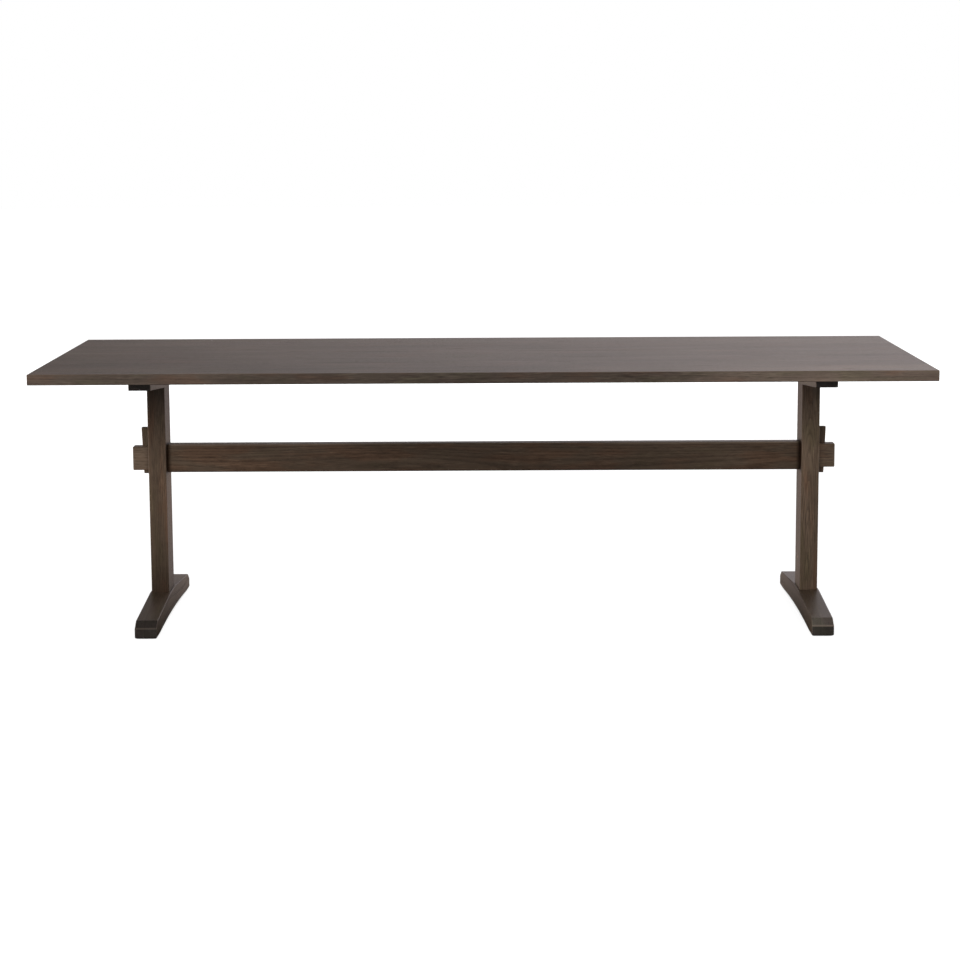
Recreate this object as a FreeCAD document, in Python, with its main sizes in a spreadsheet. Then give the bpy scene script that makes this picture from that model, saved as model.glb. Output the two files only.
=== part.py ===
import FreeCAD, Part
import math
import os
import Sketcher

# Knock-down trestle dining table in smoked oak: a slab top screwed to two I-shaped trestles,
# and a stretcher whose tenons run through both posts and are each locked by an upright wedge.
#
# Frame, in millimetres: X along the table, Y across it, Z up, origin on the floor under the
# middle of the top. Each pair of pieces is built by one function, once for each side.
# Sizes live in a spreadsheet; the sketch constraints, features and placements are bound to it.

DRIVING_DIMENSIONS = {
    # the slab
    "table_length": 2400,
    "table_width": 1000,
    "table_height": 740,
    "top_thickness": 29,
    "arris_radius": 2,
    "arris_bevel": 1.5,
    # the trestles
    "trestle_from_middle": 923,
    "bearer_length": 740,
    "bearer_width": 60,
    "post_thickness": 50,
    "post_depth": 108,
    "foot_nose_top": 28.5,
    "foot_knee_top": 45.5,
    "foot_nose_run": 30,
    "foot_seat_top": 67,
    "arch_span": 600,
    "arch_rise": 9,
    "rail_end_depth": 30,
    "rail_seat_depth": 56,
    # the blind tenons of the posts
    "stub_thickness": 20,
    "stub_width": 76,
    "stub_length": 36,
    # the stretcher and its through tenons
    "stretcher_middle_z": 448.2,
    "stretcher_height": 80,
    "stretcher_thickness": 40,
    "tenon_height": 67,
    "tenon_thickness": 36,
    "tenon_reach": 49,
    "tenon_chamfer": 2,
    # the wedges
    "wedge_length": 132,
    "wedge_head": 24,
    "wedge_toe": 19,
    "wedge_thickness": 16,
    "wedge_toe_z": 397.5,
    "left_wedge_stand": 6.5,
    "wedge_arris": 1,
    "wedge_side_play": 0.15,
    "wedge_draw": 4,
    # the screws that hold the slab
    "screw_spacing": 200,
    "screw_seat_depth": 22,
    "screw_thread": 8,
    "screw_length": 35,
    "screw_head": 13,
    "screw_head_height": 8,
    "screw_socket": 6,
    "screw_socket_depth": 4,
    "clearance_hole": 9,
    "slot_travel": 8,
    "counterbore": 26,
    "washer_diameter": 24,
    "washer_hole": 8.4,
    "washer_thickness": 2,
    "insert_bore": 12.1,
    "insert_diameter": 12,
    "insert_thread": 8.2,
    "insert_length": 15,
    # the felt pads under the feet
    "pad_length": 50,
    "pad_width": 50,
    "pad_thickness": 2,
    "pad_from_end": 35,
}

SCREWS_PER_RAIL = 4
PADS_PER_FOOT = 2
SIDES = {"left": -1, "right": 1}
UPWARDS = FreeCAD.Vector(0, 0, 1)


class Size:
    """A length in millimetres, with the spreadsheet expression that drives it."""

    def __init__(self, value, text):
        self.value = value
        self.text = text

    @staticmethod
    def of(thing):
        """Take a plain number as a size; a size stays as it is."""
        return thing if isinstance(thing, Size) else Size(thing, str(thing))

    def __add__(self, other):
        other = Size.of(other)
        return Size(self.value + other.value, f"({self.text} + {other.text})")

    def __sub__(self, other):
        other = Size.of(other)
        return Size(self.value - other.value, f"({self.text} - {other.text})")

    def __mul__(self, other):
        other = Size.of(other)
        return Size(self.value * other.value, f"({self.text} * {other.text})")

    def __truediv__(self, other):
        other = Size.of(other)
        return Size(self.value / other.value, f"({self.text} / {other.text})")

    def __neg__(self):
        return Size(-self.value, f"(0 - {self.text})")


class Dimensions:
    """The driving dimensions, each read as dims.name with its value and its expression."""

    def __init__(self, doc, table):
        self._names = table
        self.sheet = doc.addObject("Spreadsheet::Sheet", "dims")
        self.sheet.Label = "driving dimensions"
        for row, (name, value) in enumerate(table.items(), start=1):
            self.sheet.set(f"A{row}", name)
            self.sheet.set(f"B{row}", str(value))
            self.sheet.setAlias(f"B{row}", name)
        doc.recompute()

    def __getattr__(self, name):
        return Size(self._names[name], f"dims.{name}")


# ---------------------------------------------------------------- sketch and feature helpers

def new_body(doc, label, along_x=None):
    """Add a body; along_x is how far its middle stands from the table's middle."""
    body = doc.addObject("PartDesign::Body", label)
    body.Label = label
    body.Placement = FreeCAD.Placement()
    if along_x is not None:
        body.setExpression("Placement.Base.x", along_x.text)
    return body


def origin_feature(body, role):
    """One of the body's own origin planes or axes, such as XY_Plane."""
    return next(item for item in body.Origin.OriginFeatures if item.Role == role)


def new_sketch(body, name, plane, height=None):
    """Add a sketch on one of the body's origin planes, raised along its normal by height."""
    sketch = body.newObject("Sketcher::SketchObject", f"{body.Name}_{name}")
    sketch.AttachmentSupport = [(origin_feature(body, plane), "")]
    sketch.MapMode = "FlatFace"
    if height is not None:
        sketch.setExpression("AttachmentOffset.Base.z", height.text)
    return sketch


def constrain(sketch, kind, geometry, point, size):
    """Hold one coordinate of a sketch point at a driven distance from the sketch's origin."""
    number = sketch.addConstraint(Sketcher.Constraint(kind, -1, 1, geometry, point, size.value))
    sketch.setExpression(f"Constraints[{number}]", size.text)


def add_outline(sketch, corners, arc_centre_heights=None):
    """Close an outline through corners (x, y). A side named in arc_centre_heights is an arc.

    A side's number is that of the corner it leaves, and its arc turns anticlockwise about a
    centre at the given height.
    """
    corners = [(Size.of(x), Size.of(y)) for x, y in corners]
    arc_centre_heights = arc_centre_heights or {}
    first = sketch.GeometryCount
    count = len(corners)
    for side, (x, y) in enumerate(corners):
        end_x, end_y = corners[(side + 1) % count]
        start = FreeCAD.Vector(x.value, y.value, 0)
        end = FreeCAD.Vector(end_x.value, end_y.value, 0)
        if side in arc_centre_heights:
            centre_height = arc_centre_heights[side].value
            centre = FreeCAD.Vector((start.x + end.x) / 2, centre_height, 0)
            circle = Part.Circle(centre, UPWARDS, (start - centre).Length)
            start_angle = math.atan2(start.y - centre.y, start.x - centre.x)
            end_angle = math.atan2(end.y - centre.y, end.x - centre.x)
            if end_angle <= start_angle:
                end_angle += 2 * math.pi
            sketch.addGeometry(Part.ArcOfCircle(circle, start_angle, end_angle), False)
        else:
            sketch.addGeometry(Part.LineSegment(start, end), False)
    for side, (x, y) in enumerate(corners):
        this_side = first + side
        next_side = first + (side + 1) % count
        sketch.addConstraint(Sketcher.Constraint("Coincident", this_side, 2, next_side, 1))
        constrain(sketch, "DistanceX", this_side, 1, x)
        constrain(sketch, "DistanceY", this_side, 1, y)
        if side in arc_centre_heights:
            constrain(sketch, "DistanceY", this_side, 3, arc_centre_heights[side])


def add_rectangle(sketch, width, height, middle_y=0):
    """A rectangle centred on the sketch's vertical axis, its middle at the height middle_y."""
    half_width = width / 2
    low = Size.of(middle_y) - height / 2
    high = Size.of(middle_y) + height / 2
    add_outline(sketch, [(-half_width, low), (half_width, low), (half_width, high), (-half_width, high)])


def add_circle(sketch, diameter, x, y):
    """A circle centred at (x, y)."""
    x = Size.of(x)
    y = Size.of(y)
    centre = FreeCAD.Vector(x.value, y.value, 0)
    number = sketch.addGeometry(Part.Circle(centre, UPWARDS, diameter.value / 2), False)
    constrain(sketch, "DistanceX", number, 3, x)
    constrain(sketch, "DistanceY", number, 3, y)
    bound = sketch.addConstraint(Sketcher.Constraint("Diameter", number, diameter.value))
    sketch.setExpression(f"Constraints[{bound}]", diameter.text)


def add_slot(sketch, width, travel, y):
    """A slot along Y whose two round ends have their centres travel apart."""
    half_width = width / 2
    low = y - travel / 2
    high = y + travel / 2
    corners = [(-half_width, low), (half_width, low), (half_width, high), (-half_width, high)]
    add_outline(sketch, corners, arc_centre_heights={0: low, 2: high})


def add_hexagon(sketch, across_flats, y):
    """A regular hexagon with two corners along X, centred at (0, y)."""
    half = across_flats / 2
    corner = across_flats / math.sqrt(3)
    add_outline(sketch, [
        (corner, y),
        (corner / 2, y + half),
        (-corner / 2, y + half),
        (-corner, y),
        (-corner / 2, y - half),
        (corner / 2, y - half),
    ])


def pad(sketch, length, both_sides=False):
    """Pad the sketch along its plane's normal, or evenly to both sides of it."""
    body = sketch.getParentGeoFeatureGroup()
    feature = body.newObject("PartDesign::Pad", f"{sketch.Name}_pad")
    feature.Profile = sketch
    feature.setExpression("Length", length.text)
    if both_sides:
        feature.SideType = "Symmetric"
    return feature


def pocket(sketch, depth, both_sides=False, upwards=False):
    """Cut the sketch against its plane's normal; a cut that removes nothing is refused."""
    body = sketch.getParentGeoFeatureGroup()
    body.Document.recompute()
    volume_before = body.Shape.Volume
    feature = body.newObject("PartDesign::Pocket", f"{sketch.Name}_pocket")
    feature.Profile = sketch
    feature.setExpression("Length", depth.text)
    if both_sides:
        feature.SideType = "Symmetric"
    feature.Reversed = upwards
    body.Document.recompute()
    if body.Shape.Volume >= volume_before:
        raise RuntimeError(f"{feature.Name} cuts nothing")
    return feature


def revolve(sketch):
    """Turn the sketch once round its own vertical axis."""
    body = sketch.getParentGeoFeatureGroup()
    feature = body.newObject("PartDesign::Revolution", f"{sketch.Name}_turned")
    feature.Profile = sketch
    feature.ReferenceAxis = (sketch, ["V_Axis"])
    feature.Angle = 360
    return feature


def repeat_along_y(body, features, count, spacing):
    """Repeat features in a row; the first one is where the sketches put it."""
    body.Document.recompute()
    pattern = body.newObject("PartDesign::LinearPattern", f"{body.Name}_row")
    pattern.Originals = features
    pattern.Direction = (origin_feature(body, "Y_Axis"), [""])
    pattern.Occurrences = count
    pattern.setExpression("Length", (spacing * (count - 1)).text)
    body.Tip = pattern
    return pattern


def ease(body, radius, is_chosen, kind="Fillet"):
    """Round, or with kind Chamfer bevel, the edges of the body that is_chosen picks."""
    body.Document.recompute()
    base = body.Tip
    numbered = enumerate(base.Shape.Edges, start=1)
    edges = [f"Edge{number}" for number, edge in numbered if is_chosen(edge)]
    feature = body.newObject(f"PartDesign::{kind}", f"{base.Name}_eased")
    feature.Base = (base, edges)
    feature.setExpression("Radius" if kind == "Fillet" else "Size", radius.text)
    return feature


# ---------------------------------------------------------------- tests that pick edges

SAME_PLACE = 0.01


def lies_at(edge, axis, size):
    """True when the whole edge lies in the plane where the axis reads size."""
    box = edge.BoundBox
    reach = {"x": (box.XMin, box.XMax), "y": (box.YMin, box.YMax), "z": (box.ZMin, box.ZMax)}
    low, high = reach[axis]
    return abs(low - size.value) < SAME_PLACE and abs(high - size.value) < SAME_PLACE


def lies_at_either(edge, axis, size):
    """True when the whole edge lies at size on the axis, on either side of the origin."""
    return lies_at(edge, axis, size) or lies_at(edge, axis, -size)


# ---------------------------------------------------------------- the pieces

def slab_underside(dims):
    """Height of the slab's underside, which the rails lie against."""
    return dims.table_height - dims.top_thickness


def rail_seat(dims):
    """Height of the rail's flat underside, where the post's shoulder meets it."""
    return slab_underside(dims) - dims.rail_seat_depth


def screw_seat(dims):
    """Height of the flat floor of each counterbore in a rail."""
    return slab_underside(dims) - dims.screw_seat_depth


def post_outer_face(dims):
    """Distance from the table's middle to the face of the post that the wedge bears on."""
    return dims.trestle_from_middle + dims.post_thickness / 2


def screw_rows(dims):
    """Distances from the table's long middle line to each screw of a rail."""
    first = -dims.screw_spacing * ((SCREWS_PER_RAIL - 1) / 2)
    return [first + dims.screw_spacing * number for number in range(SCREWS_PER_RAIL)]


def wedge_toe_height(dims, side):
    """The left wedge is driven a little less deep, so it stands higher than the right one."""
    if side < 0:
        return dims.wedge_toe_z + dims.left_wedge_stand
    return dims.wedge_toe_z


def make_tabletop(doc, dims):
    """The slab, bored from below for the threaded inserts over both rails."""
    body = new_body(doc, "tabletop")
    slab = new_sketch(body, "slab", "XY_Plane", slab_underside(dims))
    add_rectangle(slab, dims.table_length, dims.table_width)
    pad(slab, dims.top_thickness)

    def is_long_arris(edge):
        along_end = lies_at_either(edge, "x", dims.table_length / 2)
        along_side = lies_at_either(edge, "y", dims.table_width / 2)
        return along_end != along_side

    ease(body, dims.arris_radius, is_long_arris)
    bores = new_sketch(body, "insert_bores", "XY_Plane", slab_underside(dims))
    for side in SIDES.values():
        for row in screw_rows(dims):
            add_circle(bores, dims.insert_bore, dims.trestle_from_middle * side, row)
    pocket(bores, dims.insert_length, upwards=True)
    return body


def make_foot(doc, dims, name, side):
    """A floor bearer: thick under the post, tapered to bevelled noses, arched underneath."""
    body = new_body(doc, f"{name}_foot", dims.trestle_from_middle * side)
    end = dims.bearer_length / 2
    knee = end - dims.foot_nose_run
    seat_end = dims.post_depth / 2
    arch_end = dims.arch_span / 2
    arch_radius = (arch_end * arch_end + dims.arch_rise * dims.arch_rise) / (dims.arch_rise * 2)
    arch_top = dims.pad_thickness + dims.arch_rise
    profile = new_sketch(body, "profile", "YZ_Plane")
    corners = [
        (-end, dims.pad_thickness),
        (-end, dims.foot_nose_top),
        (-knee, dims.foot_knee_top),
        (-seat_end, dims.foot_seat_top),
        (seat_end, dims.foot_seat_top),
        (knee, dims.foot_knee_top),
        (end, dims.foot_nose_top),
        (end, dims.pad_thickness),
        (arch_end, dims.pad_thickness),
        (-arch_end, dims.pad_thickness),
    ]
    underside = len(corners) - 2
    add_outline(profile, corners, arc_centre_heights={underside: arch_top - arch_radius})
    pad(profile, dims.bearer_width, both_sides=True)

    def is_side_outline(edge):
        return lies_at_either(edge, "x", dims.bearer_width / 2)

    def is_low(edge):
        return edge.BoundBox.ZMax < arch_top.value + SAME_PLACE

    def is_nose_edge(edge):
        return lies_at_either(edge, "y", end) and not is_side_outline(edge)

    def is_underside_edge(edge):
        return is_low(edge) and (is_side_outline(edge) or is_nose_edge(edge))

    # the noses are bevelled first, so that no two roundings meet in a corner
    ease(body, dims.arris_bevel, lambda edge: is_nose_edge(edge) and not is_low(edge), kind="Chamfer")
    ease(body, dims.arris_radius, lambda edge: is_side_outline(edge) and not is_low(edge))
    ease(body, dims.arris_bevel, is_underside_edge, kind="Chamfer")
    cut_stub_mortise(body, dims, dims.foot_seat_top, upwards=False)
    return body


def cut_stub_mortise(body, dims, seat, upwards):
    """Cut the blind mortise that takes one stub tenon of the post, from the seat inwards."""
    mortise = new_sketch(body, "mortise", "XY_Plane", seat)
    add_rectangle(mortise, dims.stub_thickness, dims.stub_width)
    pocket(mortise, dims.stub_length, upwards=upwards)


def make_top_rail(doc, dims, name, side):
    """The bearer under the slab: flat on top, its underside tapered out from the post.

    The two inner screws pass round holes and the two outer ones slots, so the slab can move
    across its width. Every screw head sits in a counterbore.
    """
    body = new_body(doc, f"{name}_top_rail", dims.trestle_from_middle * side)
    end = dims.bearer_length / 2
    seat_end = dims.post_depth / 2
    top = slab_underside(dims)
    profile = new_sketch(body, "profile", "YZ_Plane")
    add_outline(profile, [
        (-end, top - dims.rail_end_depth),
        (-end, top),
        (end, top),
        (end, top - dims.rail_end_depth),
        (seat_end, rail_seat(dims)),
        (-seat_end, rail_seat(dims)),
    ])
    pad(profile, dims.bearer_width, both_sides=True)

    def is_open_arris(edge):
        on_end = lies_at_either(edge, "y", end)
        on_side = lies_at_either(edge, "x", dims.bearer_width / 2)
        return (on_end or on_side) and not lies_at(edge, "z", top)

    ease(body, dims.arris_bevel, is_open_arris, kind="Chamfer")
    cut_stub_mortise(body, dims, rail_seat(dims), upwards=True)

    counterbores = new_sketch(body, "counterbores", "XY_Plane", screw_seat(dims))
    holes = new_sketch(body, "screw_holes", "XY_Plane", top)
    rows = screw_rows(dims)
    for row in rows:
        add_circle(counterbores, dims.counterbore, 0, row)
        if row in (rows[0], rows[-1]):
            add_slot(holes, dims.clearance_hole, dims.slot_travel, row)
        else:
            add_circle(holes, dims.clearance_hole, 0, row)
    pocket(counterbores, dims.rail_seat_depth)
    pocket(holes, dims.screw_seat_depth)
    return body


def make_post(doc, dims, name, side):
    """The upright, with a stub tenon at each end and a through mortise for the stretcher."""
    body = new_body(doc, f"{name}_post", dims.trestle_from_middle * side)
    shoulder_to_shoulder = rail_seat(dims) - dims.foot_seat_top
    shaft = new_sketch(body, "shaft", "XY_Plane", dims.foot_seat_top)
    add_rectangle(shaft, dims.post_thickness, dims.post_depth)
    pad(shaft, shoulder_to_shoulder)

    def is_long_arris(edge):
        on_side = lies_at_either(edge, "x", dims.post_thickness / 2)
        return on_side and lies_at_either(edge, "y", dims.post_depth / 2)

    ease(body, dims.arris_radius, is_long_arris)
    stubs = new_sketch(body, "stubs", "XY_Plane", dims.foot_seat_top - dims.stub_length)
    add_rectangle(stubs, dims.stub_thickness, dims.stub_width)
    pad(stubs, shoulder_to_shoulder + dims.stub_length * 2)
    mortise = new_sketch(body, "mortise", "YZ_Plane")
    add_rectangle(mortise, dims.tenon_thickness, dims.tenon_height, dims.stretcher_middle_z)
    pocket(mortise, dims.post_thickness, both_sides=True)
    return body


def make_stretcher(doc, dims):
    """The long rail. Its tenons pass both posts, and each has a tapered mortise for its wedge.

    The inner wall of that mortise lies inside the post, so the wedge bears on the post's face
    and on the sloping outer wall, and pulls the shoulder tight as it is driven down.
    """
    body = new_body(doc, "stretcher")
    half_height = dims.stretcher_height / 2
    rail = new_sketch(body, "rail", "YZ_Plane")
    add_rectangle(rail, dims.stretcher_thickness, dims.stretcher_height, dims.stretcher_middle_z)
    pad(rail, (dims.trestle_from_middle - dims.post_thickness / 2) * 2, both_sides=True)

    def is_long_arris(edge):
        at_top = lies_at(edge, "z", dims.stretcher_middle_z + half_height)
        at_bottom = lies_at(edge, "z", dims.stretcher_middle_z - half_height)
        return lies_at_either(edge, "y", dims.stretcher_thickness / 2) and (at_top or at_bottom)

    ease(body, dims.arris_radius, is_long_arris)
    tenon_end = post_outer_face(dims) + dims.tenon_reach
    tenons = new_sketch(body, "tenons", "YZ_Plane")
    add_rectangle(tenons, dims.tenon_thickness, dims.tenon_height, dims.stretcher_middle_z)
    pad(tenons, tenon_end * 2, both_sides=True)
    ease(body, dims.tenon_chamfer, lambda edge: lies_at_either(edge, "x", tenon_end), kind="Chamfer")

    slope = (dims.wedge_head - dims.wedge_toe) / dims.wedge_length
    tenon_bottom = dims.stretcher_middle_z - dims.tenon_height / 2
    tenon_top = dims.stretcher_middle_z + dims.tenon_height / 2
    wedge_mortises = new_sketch(body, "wedge_mortises", "XZ_Plane")
    for side in SIDES.values():
        toe = wedge_toe_height(dims, side)
        inner = post_outer_face(dims) - dims.wedge_draw
        outer_bottom = post_outer_face(dims) + dims.wedge_toe + slope * (tenon_bottom - toe)
        outer_top = post_outer_face(dims) + dims.wedge_toe + slope * (tenon_top - toe)
        add_outline(wedge_mortises, [
            (inner * side, tenon_bottom),
            (outer_bottom * side, tenon_bottom),
            (outer_top * side, tenon_top),
            (inner * side, tenon_top),
        ])
    pocket(wedge_mortises, dims.wedge_thickness + dims.wedge_side_play * 2, both_sides=True)
    return body


def make_wedge(doc, dims, name, side):
    """The key: its inner face is upright against the post and its outer face slopes."""
    body = new_body(doc, f"{name}_wedge", post_outer_face(dims) * side)
    body.setExpression("Placement.Base.z", wedge_toe_height(dims, side).text)
    profile = new_sketch(body, "profile", "XZ_Plane")
    add_outline(profile, [
        (0, 0),
        (dims.wedge_toe * side, 0),
        (dims.wedge_head * side, dims.wedge_length),
        (0, dims.wedge_length),
    ])
    pad(profile, dims.wedge_thickness, both_sides=True)
    ease(body, dims.wedge_arris, lambda edge: True, kind="Chamfer")
    return body


def make_screws(doc, dims, name, side):
    """The hexagon-socket screws of one rail, heads down in their counterbores."""
    body = new_body(doc, f"{name}_top_screws", dims.trestle_from_middle * side)
    neck = screw_seat(dims) - dims.washer_thickness
    head = neck - dims.screw_head_height
    tip = neck + dims.screw_length
    head_radius = dims.screw_head / 2
    shank_radius = dims.screw_thread / 2
    first_row = screw_rows(dims)[0]
    # the normal of this plane points along -Y, so the height of the sketch is the row negated
    profile = new_sketch(body, "profile", "XZ_Plane", -first_row)
    add_outline(profile, [
        (0, head),
        (head_radius, head),
        (head_radius, neck),
        (shank_radius, neck),
        (shank_radius, tip),
        (0, tip),
    ])
    turned = revolve(profile)
    socket = new_sketch(body, "socket", "XY_Plane", head)
    add_hexagon(socket, dims.screw_socket, first_row)
    socket_cut = pocket(socket, dims.screw_socket_depth, upwards=True)
    repeat_along_y(body, [turned, socket_cut], SCREWS_PER_RAIL, dims.screw_spacing)
    return body


def make_rings(doc, dims, label, side, outer, inner, bottom, height):
    """A row of equal rings, one at each screw of a rail."""
    body = new_body(doc, label, dims.trestle_from_middle * side)
    ring = new_sketch(body, "ring", "XY_Plane", bottom)
    first_row = screw_rows(dims)[0]
    add_circle(ring, outer, 0, first_row)
    add_circle(ring, inner, 0, first_row)
    repeat_along_y(body, [pad(ring, height)], SCREWS_PER_RAIL, dims.screw_spacing)
    return body


def make_washers(doc, dims, name, side):
    """The washers of one rail, between the screw heads and the counterbores' floors."""
    bottom = screw_seat(dims) - dims.washer_thickness
    return make_rings(doc, dims, f"{name}_top_washers", side,
                      dims.washer_diameter, dims.washer_hole, bottom, dims.washer_thickness)


def make_inserts(doc, dims, name, side):
    """The threaded inserts over one rail, flush with the slab's underside."""
    return make_rings(doc, dims, f"{name}_top_inserts", side,
                      dims.insert_diameter, dims.insert_thread, slab_underside(dims), dims.insert_length)


def make_felt_pads(doc, dims, name, side):
    """The two square pads that one foot stands on, one under each nose."""
    body = new_body(doc, f"{name}_felt_pads", dims.trestle_from_middle * side)
    from_middle = dims.bearer_length / 2 - dims.pad_from_end
    square = new_sketch(body, "square", "XY_Plane")
    add_rectangle(square, dims.pad_width, dims.pad_length, -from_middle)
    repeat_along_y(body, [pad(square, dims.pad_thickness)], PADS_PER_FOOT, from_middle * 2)
    return body


# ---------------------------------------------------------------- build, check and write

def build(doc, dims):
    """Make every piece and return their bodies."""
    bodies = [make_tabletop(doc, dims), make_stretcher(doc, dims)]
    pair_makers = [make_top_rail, make_post, make_foot, make_wedge,
                   make_screws, make_washers, make_inserts, make_felt_pads]
    for make_piece in pair_makers:
        for name, side in SIDES.items():
            bodies.append(make_piece(doc, dims, name, side))
    doc.recompute()
    return bodies


def check(doc, bodies):
    """Stop before anything is written if an object failed or a piece isn't sound."""
    for item in doc.Objects:
        if "Invalid" in item.State or "Error" in item.State:
            raise RuntimeError(f"{item.Name} did not build: {item.State}")
    for body in bodies:
        if body.Shape.isNull() or not body.Shape.isValid() or not body.Shape.Solids:
            raise RuntimeError(f"{body.Label} has no sound solid")


def main():
    doc = FreeCAD.newDocument("trestle_table")
    bodies = build(doc, Dimensions(doc, DRIVING_DIMENSIONS))
    check(doc, bodies)
    os.makedirs("parts", exist_ok=True)
    for body in bodies:
        body.Shape.exportStep(os.path.join("parts", f"{body.Label}.step"))
        print(f"{body.Label}: {len(body.Shape.Solids)} solid(s), {body.Shape.Volume / 1e3:.1f} cm3")


main()
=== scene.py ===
"""Dresses a knock-down trestle dining table in smoked oak.

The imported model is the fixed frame. Its wooden pieces keep their shape and get their oak, each
with the grain along its own length. The socket screws and the felt pads are modelled here in
more detail and stand for the plain ones. Units are metres, X along the table, Y across it and
Z up from the floor.
"""

import logging
import math
from collections.abc import Callable
from dataclasses import dataclass
from enum import Enum

import bpy
from mathutils import Euler, Matrix, Vector


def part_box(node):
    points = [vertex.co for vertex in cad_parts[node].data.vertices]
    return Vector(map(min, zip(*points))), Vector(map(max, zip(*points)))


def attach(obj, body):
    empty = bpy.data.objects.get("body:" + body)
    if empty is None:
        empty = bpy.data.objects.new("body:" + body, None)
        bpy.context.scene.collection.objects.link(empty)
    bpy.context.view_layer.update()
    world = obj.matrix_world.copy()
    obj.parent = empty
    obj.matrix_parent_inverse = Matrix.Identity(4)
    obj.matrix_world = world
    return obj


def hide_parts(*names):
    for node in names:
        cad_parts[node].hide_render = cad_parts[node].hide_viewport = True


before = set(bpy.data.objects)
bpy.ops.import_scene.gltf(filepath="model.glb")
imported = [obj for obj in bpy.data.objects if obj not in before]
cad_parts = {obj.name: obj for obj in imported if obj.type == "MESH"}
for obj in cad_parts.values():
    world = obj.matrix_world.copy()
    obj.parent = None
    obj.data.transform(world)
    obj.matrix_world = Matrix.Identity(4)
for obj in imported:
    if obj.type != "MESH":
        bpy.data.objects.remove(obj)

Colour = tuple[float, float, float, float]
Triple = tuple[float, float, float]
Pair = tuple[float, float]
Socket = bpy.types.NodeSocket
Piece = bpy.types.Object
Finish = bpy.types.Material

LOG = logging.getLogger("trestle_table")
WHITE: Colour = (1.0, 1.0, 1.0, 1.0)
NOISE_SPAN: Pair = (0.3, 0.7)  # Where most of a noise lies
NO_HEIGHT = 1e-6


def paint(*shown: float) -> Colour:
    """Turn red, green and blue as a screen shows them, 0 to 255, into the linear colour of a node."""
    shares = [channel / 255 for channel in shown]
    return (*(s / 12.92 if s <= 0.04045 else ((s + 0.055) / 1.055) ** 2.4 for s in shares), 1.0)


def toned(colour: Colour, share: float) -> Colour:
    """Make a colour lighter or darker by a share."""
    return (*(share * channel for channel in colour[:3]), 1.0)


# ---------------- node trees


@dataclass(frozen=True)
class Patches:
    """Size and fineness of the patches in a noise.

    Attributes:
        along: Length of a patch along X.
        across: Width of a patch across X.
        detail: Number of finer layers.
        roughness: Strength of the finer layers.
    """

    along: float
    across: float
    detail: float = 2.0
    roughness: float = 0.5


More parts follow.
